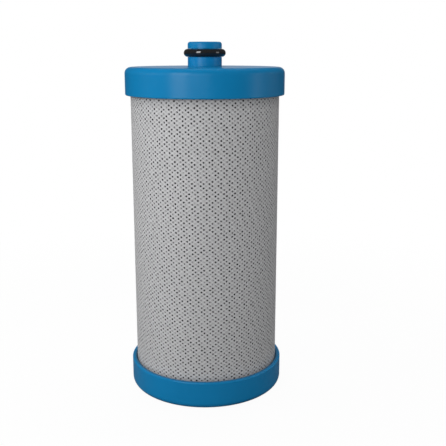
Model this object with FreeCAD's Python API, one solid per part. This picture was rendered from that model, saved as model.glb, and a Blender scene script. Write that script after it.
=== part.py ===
# Drop-in water filter cartridge for a refrigerator. A carbon block, a nonwoven wrap and a tubular
# diamond net are glued between two moulded end caps, and the upper cap carries the outlet spigot.
# Millimetres. +Z runs up the cartridge's axis, from the middle of the lower cap's flat face.

import FreeCAD
import Part

import math
import os

# Carbon block
block_diameter = 56.5
block_bore_diameter = 19.8
block_length = 127.0

# Nonwoven wraps: the prefilter wrap lies round the block, the inner wrap lines its bore
prefilter_thickness = 0.28
prefilter_lap_width = 9.0
inner_wrap_thickness = 0.25
inner_wrap_lap_width = 5.0
lap_ramp_width = 3.0
lap_clearance = 0.02
wrap_clearance = 0.05

# Tubular net. The real one has 85 strands each way and every mesh is open. Here the strands are
# coarser, and one mesh in three along each set of strands is open.
net_strands = 21
net_strand_angle = 36.1
net_thickness = 0.98
net_web = 0.25
net_clearance = 0.06
net_open_share = 0.66
net_open_step = 3

# End caps
bottom_cap_height = 11.4
top_cap_height = 11.0
cap_plate = 2.5
cap_corner_radius = 2.5
skirt_wall = 1.9
skirt_clearance = 0.2
skirt_lip_radius = 0.5
skirt_lead_in = 0.4
hub_height = 5.0
hub_wall = 1.8
hub_clearance = 0.15
hub_chamfer = 0.6
gate_recess_diameter = 7.0
gate_recess_depth = 0.4

# Hot-melt beds between each cap's plate and the block, and the ribs on the plate that key them
glue_thickness = 0.9
key_rib_diameters = (31.0, 44.0)
key_rib_width = 1.0
key_rib_height = 0.5

# Outlet spigot
spigot_diameter = 13.65
spigot_height = 9.75
spigot_bore_diameter = 6.5
spigot_tip_radius = 1.0
spigot_mouth_chamfer = 0.5
spigot_root_radius = 0.4

# O-ring and its groove
o_ring_section = 3.2
o_ring_clearance = 0.02
groove_width = 3.3
groove_depth = 1.62
groove_to_tip = 2.65

# How near an edge's radius and height are to the ones asked for when it is picked for a fillet
edge_match = 0.0001

# Radii and heights that follow from the sizes above
block_radius = block_diameter / 2
block_bore_radius = block_bore_diameter / 2
prefilter_inner_radius = block_radius + wrap_clearance
prefilter_outer_radius = prefilter_inner_radius + 2 * prefilter_thickness + lap_clearance
inner_wrap_outer_radius = block_bore_radius - wrap_clearance
inner_wrap_inner_radius = inner_wrap_outer_radius - 2 * inner_wrap_thickness - lap_clearance
net_columns = 2 * net_strands
net_column_step = math.pi / net_strands
net_inner_radius = (prefilter_outer_radius + net_clearance) / math.cos(net_column_step / 2)
net_outer_radius = net_inner_radius + net_thickness
net_web_radius = net_inner_radius + net_web
net_apex_radius = (net_web_radius - net_open_share * net_outer_radius) / (1 - net_open_share)
skirt_inner_radius = net_outer_radius + skirt_clearance
cap_radius = skirt_inner_radius + skirt_wall
hub_radius = inner_wrap_inner_radius - hub_clearance
spigot_radius = spigot_diameter / 2
spigot_bore_radius = spigot_bore_diameter / 2
groove_radius = spigot_radius - groove_depth

media_bottom = cap_plate + glue_thickness
media_top = media_bottom + block_length
upper_plate_underside = media_top + glue_thickness
cartridge_height = upper_plate_underside + cap_plate
spigot_tip = cartridge_height + spigot_height
groove_top = spigot_tip - groove_to_tip
groove_bottom = groove_top - groove_width

net_mesh_height = 2 * net_column_step * net_outer_radius * math.tan(math.radians(net_strand_angle))
net_rows = 2 * round(block_length / net_mesh_height)
net_row_height = block_length / net_rows

AXIS = FreeCAD.Vector(0, 0, 1)
ORIGIN = FreeCAD.Vector(0, 0, 0)
CROSSWISE = FreeCAD.Vector(1, 0, 0)


def polar(radius, angle, z):
    """A point at that radius and angle, in radians, from +X towards +Y."""
    return FreeCAD.Vector(radius * math.cos(angle), radius * math.sin(angle), z)


def revolved(outline):
    """A solid of revolution from an outline of (radius, height) corners."""
    corners = [FreeCAD.Vector(r, 0, z) for r, z in outline]
    face = Part.Face(Part.makePolygon(corners + corners[:1]))
    return face.revolve(ORIGIN, AXIS, 360)


def tube(inner_radius, outer_radius, z, height):
    """A plain tube on the axis, from z upwards."""
    base = FreeCAD.Vector(0, 0, z)
    outside = Part.makeCylinder(outer_radius, height, base)
    return outside.cut(Part.makeCylinder(inner_radius, height, base))


def circular_edges(shape, radius, z):
    """The shape's round edges of that radius at that height."""
    found = []
    for edge in shape.Edges:
        curve = edge.Curve
        if isinstance(curve, Part.Circle):
            same_radius = abs(curve.Radius - radius) < edge_match
            same_height = abs(curve.Center.z - z) < edge_match
            if same_radius and same_height:
                found.append(edge)
    return found


def cap_cup(height):
    """The cup both end caps share, lying open upwards with its plate on z = 0."""
    hub_top = cap_plate + hub_height
    hub_bore = hub_radius - hub_wall
    cup = revolved([
        (0, 0),
        (cap_radius, 0),
        (cap_radius, height),
        (skirt_inner_radius, height),
        (skirt_inner_radius, cap_plate),
        (hub_radius, cap_plate),
        (hub_radius, hub_top),
        (hub_bore, hub_top),
        (hub_bore, cap_plate),
        (0, cap_plate),
    ])
    cup = cup.makeFillet(cap_corner_radius, circular_edges(cup, cap_radius, 0))
    cup = cup.makeFillet(skirt_lip_radius, circular_edges(cup, cap_radius, height))
    cup = cup.makeChamfer(skirt_lead_in, circular_edges(cup, skirt_inner_radius, height))
    cup = cup.makeChamfer(hub_chamfer, circular_edges(cup, hub_radius, hub_top))
    return cup.fuse(key_ribs()).removeSplitter()


def key_ribs():
    """The low rings on a cap's plate that the adhesive grips."""
    rings = []
    for diameter in key_rib_diameters:
        middle = diameter / 2
        inner = middle - key_rib_width / 2
        rings.append(tube(inner, inner + key_rib_width, cap_plate, key_rib_height))
    return rings


def turned_over(shape):
    """A cup's copy that opens downwards, with its plate at the top of the cartridge."""
    flipped = shape.copy()
    flipped.rotate(ORIGIN, CROSSWISE, 180)
    flipped.translate(FreeCAD.Vector(0, 0, cartridge_height))
    return flipped


def bottom_end_cap():
    """The closed cap, with the shallow recess round its moulding gate underneath."""
    gate_recess = Part.makeCylinder(gate_recess_diameter / 2, gate_recess_depth)
    return cap_cup(bottom_cap_height).cut(gate_recess)


def top_end_cap():
    """The cap with the grooved outlet spigot, moulded in one with it."""
    root = cartridge_height - cap_plate / 2
    spigot = revolved([
        (0, root),
        (spigot_radius, root),
        (spigot_radius, groove_bottom),
        (groove_radius, groove_bottom),
        (groove_radius, groove_top),
        (spigot_radius, groove_top),
        (spigot_radius, spigot_tip),
        (0, spigot_tip),
    ])
    spigot = spigot.makeFillet(spigot_tip_radius, circular_edges(spigot, spigot_radius, spigot_tip))
    cap = turned_over(cap_cup(top_cap_height)).fuse(spigot).removeSplitter()
    cap = cap.makeFillet(spigot_root_radius, circular_edges(cap, spigot_radius, cartridge_height))
    bore_foot = FreeCAD.Vector(0, 0, upper_plate_underside)
    bore_length = spigot_tip - upper_plate_underside
    cap = cap.cut(Part.makeCylinder(spigot_bore_radius, bore_length, bore_foot))
    return cap.makeChamfer(spigot_mouth_chamfer, circular_edges(cap, spigot_bore_radius, spigot_tip))


def spigot_o_ring():
    """The seal that stands half proud of the spigot."""
    section_radius = o_ring_section / 2
    ring_radius = groove_radius + o_ring_clearance + section_radius
    middle = FreeCAD.Vector(0, 0, (groove_bottom + groove_top) / 2)
    return Part.makeTorus(ring_radius, section_radius, middle, AXIS)


def adhesive_bed():
    """The ring of hot melt on the lower cap's plate, with the ribs' grooves in its underside."""
    bed = tube(hub_radius, skirt_inner_radius, cap_plate, glue_thickness)
    return bed.cut(key_ribs())


def carbon_block():
    """The moulded carbon tube."""
    return tube(block_bore_radius, block_radius, media_bottom, block_length)


def lapped_wrap(laid_on_radius, outwards, thickness, lap_width):
    """One turn of sheet laid on a radius. Its end ramps over its start and lies on it for the lap."""
    far_radius = laid_on_radius + outwards * thickness
    lap_near = far_radius + outwards * lap_clearance
    lap_far = lap_near + outwards * thickness
    ramp = lap_ramp_width / laid_on_radius
    lap = lap_width / laid_on_radius
    turn = 2 * math.pi

    def arc(radius, start, end):
        ends = [polar(radius, a, media_bottom) for a in (start, (start + end) / 2, end)]
        return Part.Arc(*ends).toShape()

    def line(radius_1, angle_1, radius_2, angle_2):
        start = polar(radius_1, angle_1, media_bottom)
        return Part.makeLine(start, polar(radius_2, angle_2, media_bottom))

    edges = [
        arc(laid_on_radius, 0, turn - ramp),
        line(laid_on_radius, turn - ramp, lap_near, turn),
        arc(lap_near, turn, turn + lap),
        line(lap_near, turn + lap, lap_far, turn + lap),
        arc(lap_far, turn + lap, turn),
        line(lap_far, turn, far_radius, turn - ramp),
        arc(far_radius, turn - ramp, 0),
        line(far_radius, 0, laid_on_radius, 0),
    ]
    section = Part.Face(Part.Wire(edges))
    return section.extrude(FreeCAD.Vector(0, 0, block_length))


def prefilter_wrap():
    """The nonwoven round the block, lapped outwards."""
    return lapped_wrap(prefilter_inner_radius, 1, prefilter_thickness, prefilter_lap_width)


def inner_wrap():
    """The nonwoven that lines the block's bore, lapped towards the axis."""
    return lapped_wrap(inner_wrap_outer_radius, -1, inner_wrap_thickness, inner_wrap_lap_width)


def flat(*corners):
    """A plane face with those corners."""
    return Part.Face(Part.makePolygon(list(corners) + [corners[0]]))


def net_height(row):
    """The height of a row of the net's strand crossings."""
    return media_bottom + row * net_row_height


def at_height(point, z):
    """The point moved straight up or down to z."""
    return FreeCAD.Vector(point.x, point.y, z)


def net_mesh(column, row):
    """The mesh round that column and row as rings of points, each in the order right, top, left and
    bottom: the strands' crowns, the strands' feet and the net's inner face."""
    sides = [(column + 1, row), (column, row + 1), (column - 1, row), (column, row - 1)]
    crowns = [polar(net_outer_radius, c * net_column_step, net_height(r)) for c, r in sides]
    inner = [polar(net_inner_radius, c * net_column_step, net_height(r)) for c, r in sides]
    apex = polar(net_apex_radius, column * net_column_step, net_height(row))
    feet = [apex + (crown - apex) * net_open_share for crown in crowns]
    return crowns, feet, inner


def straight_through(foot, column):
    """The point of the net's inner face that lies straight behind a strand's foot in that column."""
    outwards = polar(1, column * net_column_step, 0)
    sideways = abs(foot.dot(outwards.cross(AXIS)))
    inner_face = net_inner_radius - sideways * math.tan(net_column_step / 2)
    return foot - outwards * (foot.dot(outwards) - inner_face)


def is_open(column, row):
    """Whether a mesh goes right through, counted along both sets of strands."""
    rising = (row + column - 1) // 2
    falling = (row - column - 1) // 2
    whole = 0 < row < net_rows
    return whole and rising % net_open_step == 0 and falling % net_open_step == 0


def mesh_faces(column, row):
    """The faces of one mesh: the flanks of the strands round it, and its open sides or its web."""
    crowns, feet, inner = net_mesh(column, row)
    flanks = [(0, 1), (1, 2), (2, 3), (3, 0)]
    if row == 0:
        flanks = flanks[:2]
    if row == net_rows:
        flanks = flanks[2:]
    faces = [flat(crowns[i], crowns[j], feet[j], feet[i]) for i, j in flanks]

    if is_open(column, row):
        rims = [straight_through(foot, column) for foot in feet]
        faces += [flat(feet[i], feet[j], rims[j], rims[i]) for i, j in flanks]
        for side in (0, 2):
            faces.append(flat(inner[3], inner[side], inner[1], rims[1], rims[side], rims[3]))
        return faces

    for right, top, left, bottom in (feet, inner):
        if row == 0:
            bottom = at_height(bottom, net_height(row))
        if row == net_rows:
            top = at_height(top, net_height(row))
        faces += [flat(bottom, right, top), flat(bottom, left, top)]
    return faces


def net_end(row):
    """The plane end of the net at its first or last row."""
    outside = []
    inside = []
    for column in range(net_columns):
        crowns, feet, inner = net_mesh(column, row)
        inside.append(at_height(inner[1], net_height(row)))
        if (column + row) % 2:
            outside += [crowns[2], feet[2], at_height(feet[1], net_height(row)), feet[0]]
    return Part.Face([Part.makePolygon(ring + ring[:1]) for ring in (outside, inside)])


def outer_netting():
    """The diamond net as one wall: its ridges are the strands, and the meshes between them are thinned
    to a web, apart from the evenly spaced ones that go right through."""
    faces = [net_end(0), net_end(net_rows)]
    for row in range(net_rows + 1):
        for column in range((row + 1) % 2, net_columns, 2):
            faces += mesh_faces(column, row)
    wall = Part.makeShell(faces)
    wall.sewShape()
    return Part.Solid(wall)


def pieces():
    """Every piece of the cartridge by its name."""
    lower_bed = adhesive_bed()
    return {
        "bottom_end_cap": bottom_end_cap(),
        "top_end_cap": top_end_cap(),
        "spigot_o_ring": spigot_o_ring(),
        "outer_netting": outer_netting(),
        "prefilter_wrap": prefilter_wrap(),
        "carbon_block": carbon_block(),
        "inner_wrap": inner_wrap(),
        "bottom_adhesive": lower_bed,
        "top_adhesive": turned_over(lower_bed),
    }


os.makedirs("parts", exist_ok=True)
for name, shape in pieces().items():
    shape.exportStep(f"parts/{name}.step")
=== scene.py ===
# Looks of a drop-in water filter cartridge for a refrigerator. Metres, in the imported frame.

import math

import bpy
import numpy as np
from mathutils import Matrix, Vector


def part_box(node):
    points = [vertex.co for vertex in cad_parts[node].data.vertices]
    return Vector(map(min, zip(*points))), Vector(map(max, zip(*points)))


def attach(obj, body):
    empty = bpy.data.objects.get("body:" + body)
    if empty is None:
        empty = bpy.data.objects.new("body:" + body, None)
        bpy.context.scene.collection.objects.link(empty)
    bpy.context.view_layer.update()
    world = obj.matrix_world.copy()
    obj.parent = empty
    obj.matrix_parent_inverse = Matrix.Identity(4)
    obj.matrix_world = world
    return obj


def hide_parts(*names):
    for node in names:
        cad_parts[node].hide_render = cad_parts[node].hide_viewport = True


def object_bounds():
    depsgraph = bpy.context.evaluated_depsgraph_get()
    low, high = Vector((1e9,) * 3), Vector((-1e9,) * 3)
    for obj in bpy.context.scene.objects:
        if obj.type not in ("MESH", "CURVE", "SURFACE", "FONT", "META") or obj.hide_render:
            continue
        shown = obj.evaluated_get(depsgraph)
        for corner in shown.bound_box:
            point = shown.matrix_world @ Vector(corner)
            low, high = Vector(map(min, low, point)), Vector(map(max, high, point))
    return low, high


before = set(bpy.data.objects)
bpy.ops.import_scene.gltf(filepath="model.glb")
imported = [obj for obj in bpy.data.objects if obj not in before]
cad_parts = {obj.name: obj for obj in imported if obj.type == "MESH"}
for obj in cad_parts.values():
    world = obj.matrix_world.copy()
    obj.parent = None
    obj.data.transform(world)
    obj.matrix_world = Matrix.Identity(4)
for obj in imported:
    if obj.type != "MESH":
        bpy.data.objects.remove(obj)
cad_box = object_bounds()

# Places that the looks take from the frame
net_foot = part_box("outer_netting")[0][2]
net_radius, _, net_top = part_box("outer_netting")[1]
low_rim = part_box("bottom_end_cap")[1][2]
high_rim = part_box("top_end_cap")[0][2]

MM = 0.001

# Camera, fitted to the photograph's circles
PHOTO_SIDE_PX = 446
FOCAL_LENGTH_PX = 728.64
CAMERA_PLACE = Vector((7.29, -299.28, 139.69)) * MM
CAMERA_PITCH = math.radians(13.23)
CAMERA_CLIP_START = 10 * MM
SENSOR_WIDTH_MM = 36.0
FACING = -math.pi / 2           # the camera's side, as an angle round the cartridge's axis

# Net, measured on the photograph's unwrapped cylinder
HOLES_ROUND = 85
HOLE_RISE = 1.6124 * MM         # from hole to hole in a column
FIRST_ACROSS = 0.042 * MM       # the lowest hole that faces the camera: how far right of the middle
FIRST_HEIGHT = 4.262 * MM       # and how high
HOLE_RADIUS = 0.345 * MM
HOLE_POINTEDNESS = 0.08         # how much wider a hole is towards its four crossings, as a share
HOLE_SCATTER = 0.05             # how much the radii vary, as a share
HOLE_DRIFT = 0.02 * MM          # how much the places vary
DICE_LIMIT = 2                  # how many times as much they vary at most
RIM_WIDTH = 0.03 * MM           # how much wider a hole's radius is at its rim than at its foot
RIM_DROP = 0.10 * MM            # how far the rim lies below the net's outside
STRAND_DIP = 0.05 * MM          # how far a strand's middle lies below the crossings
NET_THICKNESS = 0.9 * MM
NET_BANDS = 4
NET_SEED = 5
NET_CREASE = math.radians(50)   # edges that turn by more than this are shaded sharp

# The corners that each hole owns: the crossing on its right and the strands at its upper and lower right.
# Each is its place across and up, in holes, and how many of the strands' dips it lies below the crossings.
OWN_CORNERS = [(1 / 2, 0, 0), (1 / 4, 1 / 4, 1), (1 / 4, -1 / 4, 1)]

# The corners round a hole, from its right, anticlockwise: which of the three it is, and whose, in rows
# up and columns on
ROUND_A_HOLE = [(0, 0, 0), (1, 0, 0), (0, 1, -1), (2, 1, -1),
                (0, 0, -1), (1, -1, 0), (0, -1, 0), (2, 0, 0)]
SIDES = len(ROUND_A_HOLE)

# The steep strands behind the net, which fill some of its holes. Each set has its hand, how many strands
# go round, their width, the height from one to the next above it, the phase of that pattern at the front
# of the base, in radians, and how far the strands' crowns lie below the net's.
STEEP_SETS = {
    "net_steep_strands_left": (-1, 52, 1.02 * MM, 8.326 * MM, 1.52, 0.15 * MM),
    "net_steep_strands_right": (1, 54, 1.00 * MM, 8.258 * MM, -2.42, 0.20 * MM),
}
STEEP_DEPTH = 0.40 * MM
STEEP_STEPS = 40

# A steep strand's section, in widths sideways and depths outwards, and the faces that close its ends
STEEP_SECTION = [(0.5, -0.25), (0.5, 0.25), (0.4, 0.5), (-0.4, 0.5),
                 (-0.5, 0.25), (-0.5, -0.25), (-0.4, -0.5), (0.4, -0.5)]
STEEP_END_FACES = [(0, 1, 2, 3), (0, 3, 4, 7), (4, 5, 6, 7)]

# The finishes below have linear colours. A noise is its waves per metre, its detail and, where that isn't
# a half, its roughness. Tints are the shares by which a noise darkens or lightens a colour, and a bump is
# its depth and its strength.

# Painted shade: the near black that the caps and the net are darkened towards where shade falls
PAINTED_SHADE_BLACK = (0.03, 0.03, 0.032)

# Caps
CAP_BLUE = (0.003, 0.238, 0.532)
CAP_TINTS = (-0.06, 0.06)
CAP_FLOW = (60, 3.0)
CAP_GRAIN = (5200, 2.0)
CAP_BUMP = (0.01 * MM, 0.12)
CAP_ROUGHNESS = (0.27, 0.32)
CAP_SPECULAR = 0.5
# Painted shade on the lower cap's rim, in the crevice where it meets the net: its share, how far out from
# the net it reaches and how far up it fades
CAP_PAINTED_SHADE = 0.55                 # on the lower cap's rim, where it meets the net
CAP_PAINTED_SHADE_WIDTH = 2.1 * MM
CAP_PAINTED_SHADE_FADE = 1 * MM

# Seal, under a film of grease that lies where the surface looks up
RUBBER_BLACK = (0.012, 0.012, 0.013)
RUBBER_TINTS = (-0.2, 0.3)
RUBBER_FILM = (900, 2.0)
RUBBER_BUMP = (0.004 * MM, 0.4)
RUBBER_ROUGHNESS = (0.10, 0.14)
RUBBER_SPECULAR = 0.5
GREASE_EDGES = (-0.2, 0.2)
GREASE_IOR = 2.6
GREASE_ROUGHNESS = 0.06

# Net: plastic with a painted highlight on its crowns, and painted shade in its holes and along the caps'
# rims
NET_GREY = (0.65, 0.65, 0.66)
# Painted highlight: the crowns are painted lighter than the plastic below them
NET_BELOW_CROWN_TINTS = (-0.28, 0.08)
NET_LIT_CROWN_TINTS = (0.04, 0.34)
NET_LIT_CROWN_DEPTH = 0.06 * MM                    # how far below the crowns the painted highlight ends
NET_CLOUD = (1000, 3.0)
NET_GRAIN = (6000, 2.0)
NET_BUMP = (0.02 * MM, 0.6)
NET_ROUGHNESS = (0.5, 0.65)
NET_SPECULAR = 0.3
HOLE_PAINTED_SHADE_DEPTHS = (0.34 * MM, 0.10 * MM)       # painted shade in the holes: full below the first depth, none above the second
LOW_PAINTED_SHADE = 0.28                                 # painted shade at the lower cap's rim, as a share
LOW_PAINTED_SHADE_HEIGHT = 2.2 * MM                      # how far up from there it fades away
HIGH_PAINTED_SHADOW = 0.26                                # painted shadow under the upper cap's rim, as a share
HIGH_PAINTED_SHADOW_HEIGHT = 5.5 * MM                     # how far down from there it fades away

# Nonwoven wraps, each from its dark to its pale fibres
PREFILTER_SHADES = ((0.03, 0.03, 0.032), (0.16, 0.16, 0.165))
LINER_SHADES = ((0.49, 0.49, 0.483), (0.70, 0.70, 0.69))
NONWOVEN_FIBRES = (2600, 4.0, 0.7)
NONWOVEN_BUMP = (0.08 * MM, 0.8)
NONWOVEN_ROUGHNESS = 0.9
NONWOVEN_SPECULAR = 0.2

# Carbon block
CARBON_BLACK = (0.012, 0.012, 0.012)
CARBON_TINTS = (1.0, 0.0)
CARBON_GRAINS_A_METRE = 2200
CARBON_BUMP = (0.15 * MM, 0.8)
CARBON_ROUGHNESS = 0.8

# Adhesive
ADHESIVE_IVORY = (0.72, 0.62, 0.42)
ADHESIVE_TINTS = (-0.1, 0.1)
ADHESIVE_CLOUD = (250, 3.0)
ADHESIVE_BUMP = (0.1 * MM, 0.4)
ADHESIVE_ROUGHNESS = (0.3, 0.5)

# World: its even light, and what mirror-like rays see of the room and of the white backdrop
AMBIENT = 0.16
ROOM_SHEEN = 0.04
BACKDROP_SHEEN = 0.65
BACKDROP_EDGES = (0.93, 0.995)  # where the backdrop fades in, as the Y of a direction

# Soft boxes: azimuth from the camera's side and elevation, in degrees, distance, width, height, whether
# mirror-like rays see them, and watts
SOFT_BOXES = {
    "key_soft_box": (-34, 24, 0.37, 0.13, 0.30, True, 0.235),
    "fill_soft_box": (76, 12, 0.38, 0.12, 0.26, True, 0.060),
    "left_soft_box": (-84, 20, 0.38, 0.22, 0.16, False, 0.44),
    "front_soft_box": (-9, 17, 0.37, 0.22, 0.16, False, 0.50),
    "back_soft_box": (180, 66, 0.50, 0.50, 0.30, False, 1.30),
    "rim_right_soft_box": (112, 10, 0.45, 0.25, 0.30, False, 0.42),
}

# Floor
FLOOR_HALF = 3.0
FLOOR_GREY = (0.16, 0.16, 0.16)         # for the light that it throws back at the cartridge
FLOOR_WHITE = (0.95, 0.95, 0.95)        # for the camera
FLOOR_ROUGHNESS = 0.9
FLOOR_MELT = (0.10, 0.30)               # where it melts into the backdrop, as distances from its middle
FLOOR_LIFT = 0.95                       # how white it stays in the shadow


def new_material(name):
    """A new material, its node tree and its Principled shader."""
    material = bpy.data.materials.new(name)
    material.use_nodes = True
    return material, material.node_tree, material.node_tree.nodes["Principled BSDF"]


def feed(tree, node, values):
    """Sets a node's inputs, by name or number, to numbers or colours, or links sockets to them."""
    for key, value in values.items():
        socket = node.inputs[key]
        if isinstance(value, bpy.types.NodeSocket):
            tree.links.new(value, socket)
        elif socket.type == "RGBA":
            socket.default_value = (*value, 1)
        else:
            socket.default_value = value


def add(tree, kind, values=None, **settings):
    """A new node with the given properties and inputs."""
    node = tree.nodes.new(kind)
    for key, value in settings.items():
        setattr(node, key, value)
    feed(tree, node, values or {})
    return node


def object_point(tree):
    """The socket of the object coordinates, which are the frame's own."""
    return add(tree, "ShaderNodeTexCoord").outputs["Object"]


def noise(tree, point, scale, detail, roughness=0.5):
    """A noise texture's value, with scale in waves per metre."""
    values = {"Vector": point, "Scale": scale, "Detail": detail, "Roughness": roughness}
    return add(tree, "ShaderNodeTexNoise", values).outputs["Fac"]


def maths(tree, operation, first, second):
    """A Math node's result, from sockets or numbers."""
    return add(tree, "ShaderNodeMath", {0: first, 1: second}, operation=operation).outputs[0]


def spread(tree, value, low, high):
    """The value, from 0 to 1, spread over low to high."""
    values = {"Value": value, "To Min": low, "To Max": high}
    return add(tree, "ShaderNodeMapRange", values).outputs["Result"]


def ramp(tree, value, start, end):
    """A smooth rise from 0 to 1 as the value goes from start to end."""
    values = {"Value": value, "From Min": start, "From Max": end}
    return add(tree, "ShaderNodeMapRange", values, interpolation_type="SMOOTHSTEP").outputs["Result"]


def blend(tree, factor, first, second):
    """A colour that goes from the first to the second, each a colour or a socket, with the factor."""
    node = add(tree, "ShaderNodeMix", {"Factor": factor}, data_type="RGBA")
    start, end = [number for number, socket in enumerate(node.inputs) if socket.type == "RGBA"]
    feed(tree, node, {start: first, end: second})
    return next(socket for socket in node.outputs if socket.type == "RGBA")


def tinted(tree, factor, colour, tints):
    """The colour, darker or lighter by two shares of it, from the first to the second with the factor."""
    return blend(tree, factor, *[tuple(channel * (1 + share) for channel in colour) for share in tints])


def bump(tree, height, distance, strength):
    """The surface's normal with that height field on it, with distance in metres."""
    values = {"Height": height, "Distance": distance, "Strength": strength}
    return add(tree, "ShaderNodeBump", values).outputs["Normal"]


def axes_of(tree, vector):
    """A vector's X, Y and Z, under those names."""
    return add(tree, "ShaderNodeSeparateXYZ", {"Vector": vector}).outputs


def length_of(tree, vector):
    """A vector's length."""
    return add(tree, "ShaderNodeVectorMath", {0: vector}, operation="LENGTH").outputs["Value"]


def from_axis(tree, point):
    """How far a point lies from the cartridge's axis."""
    across = add(tree, "ShaderNodeVectorMath", {0: point, 1: (1, 1, 0)}, operation="MULTIPLY")
    return length_of(tree, across.outputs["Vector"])


def cap_plastic():
    """Moulded plastic with a fine grain and faint flow marks, and painted shade on the lower cap's rim, in
    the crevice where it meets the net.
    """
    material, tree, shader = new_material("cap_plastic")
    point = object_point(tree)
    flow = noise(tree, point, *CAP_FLOW)
    grain = noise(tree, point, *CAP_GRAIN)
    # Painted shade: the lower cap's rim is darkened next to the net
    beside_net = ramp(tree, from_axis(tree, point), net_radius + CAP_PAINTED_SHADE_WIDTH, net_radius)
    low_cap = ramp(tree, axes_of(tree, point)["Z"], low_rim + CAP_PAINTED_SHADE_FADE, low_rim)
    painted_shade = maths(tree, "MULTIPLY", CAP_PAINTED_SHADE, maths(tree, "MULTIPLY", beside_net, low_cap))
    feed(tree, shader, {
        "Base Color": blend(tree, painted_shade, tinted(tree, flow, CAP_BLUE, CAP_TINTS), PAINTED_SHADE_BLACK),
        "Roughness": spread(tree, flow, *CAP_ROUGHNESS),
        "Specular IOR Level": CAP_SPECULAR,
        "Normal": bump(tree, grain, *CAP_BUMP),
    })
    return material


def seal_rubber():
    """Smooth moulded rubber under a shiny film of grease."""
    material, tree, shader = new_material("seal_rubber")
    film = noise(tree, object_point(tree), *RUBBER_FILM)
    normal = add(tree, "ShaderNodeNewGeometry").outputs["Normal"]
    feed(tree, shader, {
        "Base Color": tinted(tree, film, RUBBER_BLACK, RUBBER_TINTS),
        "Roughness": spread(tree, film, *RUBBER_ROUGHNESS),
        "Specular IOR Level": RUBBER_SPECULAR,
        "Coat Weight": ramp(tree, axes_of(tree, normal)["Z"], *GREASE_EDGES),
        "Coat IOR": GREASE_IOR,
        "Coat Roughness": GREASE_ROUGHNESS,
        "Normal": bump(tree, film, *RUBBER_BUMP),
    })
    return material


def net_plastic():
    """Extruded netting, matte, with a painted highlight on its crowns, and painted shade in its holes and
    at its ends, next to the caps' rims.
    """
    material, tree, shader = new_material("net_plastic")
    point = object_point(tree)
    cloud = noise(tree, point, *NET_CLOUD)
    grain = noise(tree, point, *NET_GRAIN)
    reach = from_axis(tree, point)
    height = axes_of(tree, point)["Z"]
    # Painted shade: the deeper a surface lies in the holes, the darker it is painted
    above_painted_shade = ramp(tree, reach, *[net_radius - depth for depth in HOLE_PAINTED_SHADE_DEPTHS])
    # Painted highlight: lighter on the crowns, where the strands cross
    painted_crown_light = ramp(tree, reach, net_radius - NET_LIT_CROWN_DEPTH, net_radius)
    below_crown_colour = tinted(tree, cloud, NET_GREY, NET_BELOW_CROWN_TINTS)
    lit_crown_colour = tinted(tree, cloud, NET_GREY, NET_LIT_CROWN_TINTS)
    plain = blend(tree, above_painted_shade, PAINTED_SHADE_BLACK, blend(tree, painted_crown_light, below_crown_colour, lit_crown_colour))
    # Painted shade next to the lower cap's rim, and painted shadow under the upper cap's overhang
    at_low_rim = ramp(tree, height, low_rim + LOW_PAINTED_SHADE_HEIGHT, low_rim)
    at_high_rim = ramp(tree, height, high_rim - HIGH_PAINTED_SHADOW_HEIGHT, high_rim)
    low_painted_shade = maths(tree, "MULTIPLY", at_low_rim, LOW_PAINTED_SHADE)
    high_painted_shadow = maths(tree, "MULTIPLY", at_high_rim, HIGH_PAINTED_SHADOW)
    feed(tree, shader, {
        "Base Color": blend(tree, maths(tree, "ADD", low_painted_shade, high_painted_shadow), plain, PAINTED_SHADE_BLACK),
        "Roughness": spread(tree, grain, *NET_ROUGHNESS),
        "Specular IOR Level": NET_SPECULAR,
        "Normal": bump(tree, grain, *NET_BUMP),
    })
    return material


def nonwoven(name, shades):
    """Spun-bonded fibre sheet, mottled from its dark to its pale fibres."""
    material, tree, shader = new_material(name)
    fibres = noise(tree, object_point(tree), *NONWOVEN_FIBRES)
    feed(tree, shader, {
        "Base Color": blend(tree, fibres, *shades),
        "Roughness": NONWOVEN_ROUGHNESS,
        "Specular IOR Level": NONWOVEN_SPECULAR,
        "Normal": bump(tree, fibres, *NONWOVEN_BUMP),
    })
    return material


def carbon():
    """Sintered carbon grains."""
    material, tree, shader = new_material("carbon")
    values = {"Vector": object_point(tree), "Scale": CARBON_GRAINS_A_METRE}
    from_grain = add(tree, "ShaderNodeTexVoronoi", values).outputs["Distance"]
    feed(tree, shader, {
        "Base Color": tinted(tree, from_grain, CARBON_BLACK, CARBON_TINTS),
        "Roughness": CARBON_ROUGHNESS,
        "Normal": bump(tree, from_grain, *CARBON_BUMP),
    })
    return material


def hot_melt():
    """Cast adhesive, slightly cloudy."""
    material, tree, shader = new_material("hot_melt")
    cloud = noise(tree, object_point(tree), *ADHESIVE_CLOUD)
    feed(tree, shader, {
        "Base Color": tinted(tree, cloud, ADHESIVE_IVORY, ADHESIVE_TINTS),
        "Roughness": spread(tree, cloud, *ADHESIVE_ROUGHNESS),
        "Normal": bump(tree, cloud, *ADHESIVE_BUMP),
    })
    return material


def dress_nodes():
    """The finish of every piece that keeps its packed form."""
    plastic = cap_plastic()
    adhesive = hot_melt()
    finishes = {
        "top_end_cap": plastic,
        "bottom_end_cap": plastic,
        "spigot_o_ring": seal_rubber(),
        "prefilter_wrap": nonwoven("prefilter_nonwoven", PREFILTER_SHADES),
        "carbon_block": carbon(),
        "inner_wrap": nonwoven("inner_nonwoven", LINER_SHADES),
        "top_adhesive": adhesive,
        "bottom_adhesive": adhesive,
    }
    for name, material in finishes.items():
        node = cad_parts[name]
        node.data.materials.clear()
        node.data.materials.append(material)


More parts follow.
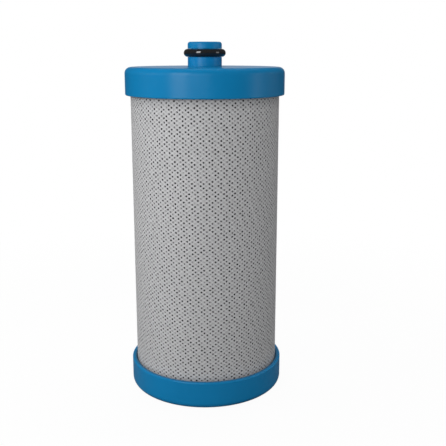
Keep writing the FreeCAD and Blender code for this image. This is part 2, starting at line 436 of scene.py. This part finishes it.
def new_mesh(name, points, faces, material):
    """A smooth-shaded mesh object from arrays of points and of four-sided faces."""
    mesh = bpy.data.meshes.new(name)
    mesh.vertices.add(len(points))
    mesh.vertices.foreach_set("co", np.ravel(points))
    mesh.loops.add(np.size(faces))
    mesh.loops.foreach_set("vertex_index", np.ravel(faces))
    mesh.polygons.add(len(faces))
    mesh.polygons.foreach_set("loop_start", np.arange(len(faces)) * 4)
    mesh.update(calc_edges=True)
    mesh.shade_smooth()
    mesh.materials.append(material)
    piece = bpy.data.objects.new(name, mesh)
    bpy.context.scene.collection.objects.link(piece)
    return piece


def on_cylinder(turn, radius, height):
    """Points at those angles round the axis, distances from it and heights."""
    return np.stack([radius * np.cos(turn), radius * np.sin(turn), height], axis=-1)


def net_points(rows, dice):
    """The points of those rows of holes, in layers: the shared corners outside, the same inside, the
    holes' rims and the holes' feet. Each layer has a point for every hole."""
    width = 2 * math.pi * net_radius / HOLES_ROUND
    inner_radius = net_radius - NET_THICKNESS
    row, column = np.meshgrid(rows, np.arange(HOLES_ROUND), indexing="ij")
    across = FIRST_ACROSS + (column + row / 2) * width
    height = FIRST_HEIGHT + row * HOLE_RISE / 2
    scatter, drift_across, drift_up = dice[:, rows]
    hole_radius = HOLE_RADIUS * (1 + HOLE_SCATTER * scatter)
    hole_across = across + drift_across * HOLE_DRIFT
    hole_height = height + drift_up * HOLE_DRIFT

    layers = []
    for radius, dip in ((net_radius, STRAND_DIP), (inner_radius, 0)):
        for along, up, dips in OWN_CORNERS:
            layers.append((across + along * width, height + up * HOLE_RISE, radius - dips * dip))
    for radius, widening in ((net_radius - RIM_DROP, RIM_WIDTH), (inner_radius, 0)):
        for side in range(SIDES):
            angle = 2 * math.pi * side / SIDES
            reach = (hole_radius + widening) * (1 + HOLE_POINTEDNESS * math.cos(4 * angle))
            layers.append((hole_across + reach * math.cos(angle),
                           hole_height + reach * math.sin(angle), radius))
    return np.array([on_cylinder(FACING + arc / net_radius, radius, level)
                     for arc, level, radius in layers])


def net_faces(rows):
    """The faces of those rows: each hole's ring of outer, flank and inner faces, and the walls that
    close the band at its foot and its top. The points have one more row at each end."""
    row, column = np.meshgrid(np.arange(1, len(rows) + 1), np.arange(HOLES_ROUND), indexing="ij")
    layer_size = (len(rows) + 2) * HOLES_ROUND

    def number(layer, up=0, on=0):
        return layer * layer_size + (row + up) * HOLES_ROUND + (column + on) % HOLES_ROUND

    own = len(OWN_CORNERS)
    outer = [number(corner, up, on) for corner, up, on in ROUND_A_HOLE]
    inner = [number(corner + own, up, on) for corner, up, on in ROUND_A_HOLE]
    rim = [number(2 * own + side) for side in range(SIDES)]
    foot = [number(2 * own + SIDES + side) for side in range(SIDES)]
    faces = []
    for side in range(SIDES):
        after = (side + 1) % SIDES
        for near, far in ((outer, rim), (rim, foot), (foot, inner)):
            ring = np.stack([near[side], near[after], far[after], far[side]], axis=-1)
            faces.append(ring.reshape(-1, 4))
        end = 0 if side >= SIDES // 2 else -1
        wall = [outer[after][end], outer[side][end], inner[side][end], inner[after][end]]
        faces.append(np.stack(wall, axis=-1))
    return np.concatenate(faces)


def net_band(name, rows, dice, material):
    """A band of the net, as one closed mesh."""
    points = net_points(np.arange(rows[0] - 1, rows[-1] + 2), dice).reshape(-1, 3)
    used, faces = np.unique(net_faces(rows), return_inverse=True)
    return new_mesh(name, points[used], faces.reshape(-1, 4), material)


def steep_strands(name, hand, count, width, rise, phase, drop, material):
    """One set of the steep strands, as closed bars with rounded edges."""
    corners = len(STEEP_SECTION)
    heights = np.linspace(net_foot, net_top, STEEP_STEPS + 1)
    strand, height, corner = np.meshgrid(np.arange(count), heights, np.arange(corners), indexing="ij")
    sideways, outwards = np.array(STEEP_SECTION).T[:, corner]
    middle = net_radius - drop - STEEP_DEPTH / 2
    turn = FACING - hand * (phase - 2 * math.pi * height / rise + 2 * math.pi * strand) / count
    turn += sideways * width / middle
    points = on_cylinder(turn, middle + outwards * STEEP_DEPTH, height).reshape(-1, 3)
    faces = []
    for first in range(0, len(points), corners * (STEEP_STEPS + 1)):
        last = first + corners * STEEP_STEPS
        for lower in range(first, last, corners):
            for a in range(corners):
                b = (a + 1) % corners
                faces.append((lower + b, lower + a, lower + a + corners, lower + b + corners))
        for a, b, c, d in STEEP_END_FACES:
            faces.append((first + a, first + b, first + c, first + d))
            faces.append((last + d, last + c, last + b, last + a))
    return new_mesh(name, points, faces, material)


def netting():
    """The net, in bands of whole rows of holes that meet edge to edge, and the strands behind them."""
    material = net_plastic()
    rows = math.floor((net_top - HOLE_RISE / 2 - FIRST_HEIGHT) / (HOLE_RISE / 2)) + 1
    # The dice have a row more at each end, and the one below the first row comes last
    dice = np.random.default_rng(NET_SEED).standard_normal((3, rows + 2, HOLES_ROUND))
    dice = dice.clip(-DICE_LIMIT, DICE_LIMIT)
    net = []
    for number, band in enumerate(np.array_split(np.arange(rows), NET_BANDS), 1):
        net.append(net_band(f"net_band_{number}", band, dice, material))
    for name, strands in STEEP_SETS.items():
        net.append(steep_strands(name, *strands, material))
    for piece in net:
        piece.data.set_sharp_from_angle(angle=NET_CREASE)
        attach(piece, "root")
        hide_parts("outer_netting")


def soft_box(name, azimuth, elevation, distance, width, height, mirrored, watts):
    """A soft box that faces the middle of the cartridge. Azimuth 0 is the camera's side, positive right."""
    low, high = cad_box
    target = Vector((0, 0, (low[2] + high[2]) / 2))
    turn = math.radians(azimuth)
    tilt = math.radians(elevation)
    away = Vector((math.sin(turn) * math.cos(tilt), -math.cos(turn) * math.cos(tilt), math.sin(tilt)))
    lamp = bpy.data.lights.new(name, "AREA")
    lamp.shape = "RECTANGLE"
    lamp.size = width
    lamp.size_y = height
    lamp.energy = watts
    box = bpy.data.objects.new(name, lamp)
    box.location = target + away * distance
    box.rotation_euler = (-away).to_track_quat("-Z", "Y").to_euler()
    box.visible_camera = False
    box.visible_glossy = mirrored
    bpy.context.scene.collection.objects.link(box)


def ray_kinds(tree):
    """Sockets that are 1 for the rays that see the backdrop straight or through glass, and for
    mirror-like ones."""
    rays = add(tree, "ShaderNodeLightPath").outputs
    direct = maths(tree, "MAXIMUM", rays["Is Camera Ray"], rays["Is Transmission Ray"])
    return direct, rays["Is Glossy Ray"]


def towards_backdrop(tree, direction):
    """1 where a direction from the cartridge leads to the white backdrop, which stands behind it."""
    unit = add(tree, "ShaderNodeVectorMath", {0: direction}, operation="NORMALIZE")
    return ramp(tree, axes_of(tree, unit.outputs["Vector"])["Y"], *BACKDROP_EDGES)


def world_light():
    """Even light from all round, and a white backdrop behind the cartridge."""
    world = bpy.data.worlds.new("studio")
    bpy.context.scene.world = world
    world.use_nodes = True
    tree = world.node_tree
    behind = towards_backdrop(tree, add(tree, "ShaderNodeTexCoord").outputs["Generated"])
    direct, glossy = ray_kinds(tree)
    sheen = spread(tree, behind, ROOM_SHEEN, BACKDROP_SHEEN)
    strength = spread(tree, direct, spread(tree, glossy, AMBIENT, sheen), 1)
    feed(tree, tree.nodes["Background"], {"Color": (1, 1, 1), "Strength": strength})


def floor_finish():
    """Plain pale floor that is lit round the cartridge, where it takes the shadow, and melts into the
    white backdrop further out."""
    material, tree, shader = new_material("floor")
    direct, glossy = ray_kinds(tree)
    point = object_point(tree)
    feed(tree, shader, {
        "Base Color": blend(tree, direct, FLOOR_GREY, FLOOR_WHITE),
        "Roughness": FLOOR_ROUGHNESS,
        "Specular IOR Level": 0,
    })
    melt = ramp(tree, length_of(tree, point), *FLOOR_MELT)
    behind = maths(tree, "MULTIPLY", melt, towards_backdrop(tree, point))
    mirrored = maths(tree, "MULTIPLY", glossy, maths(tree, "MULTIPLY", behind, BACKDROP_SHEEN))
    lift = spread(tree, direct, mirrored, spread(tree, melt, FLOOR_LIFT, 1))
    white = add(tree, "ShaderNodeEmission").outputs["Emission"]
    mix = add(tree, "ShaderNodeMixShader", {"Fac": lift, 1: shader.outputs["BSDF"], 2: white})
    feed(tree, tree.nodes["Material Output"], {"Surface": mix.outputs["Shader"]})
    return material


def floor():
    """The floor that the cartridge stands on."""
    corners = [(-FLOOR_HALF, -FLOOR_HALF, 0), (FLOOR_HALF, -FLOOR_HALF, 0),
               (FLOOR_HALF, FLOOR_HALF, 0), (-FLOOR_HALF, FLOOR_HALF, 0)]
    new_mesh("floor", corners, [(0, 1, 2, 3)], floor_finish())


def camera():
    """The photograph's camera."""
    data = bpy.data.cameras.new("camera")
    data.sensor_width = SENSOR_WIDTH_MM
    data.lens = FOCAL_LENGTH_PX / PHOTO_SIDE_PX * SENSOR_WIDTH_MM
    data.clip_start = CAMERA_CLIP_START
    eye = bpy.data.objects.new("camera", data)
    eye.location = CAMERA_PLACE
    eye.rotation_euler = (math.pi / 2 - CAMERA_PITCH, 0, 0)
    bpy.context.scene.collection.objects.link(eye)
    bpy.context.scene.camera = eye


camera()
world_light()
for name, placing in SOFT_BOXES.items():
    soft_box(name, *placing)
floor()
dress_nodes()
netting()
bpy.context.scene.view_settings.view_transform = "Standard"
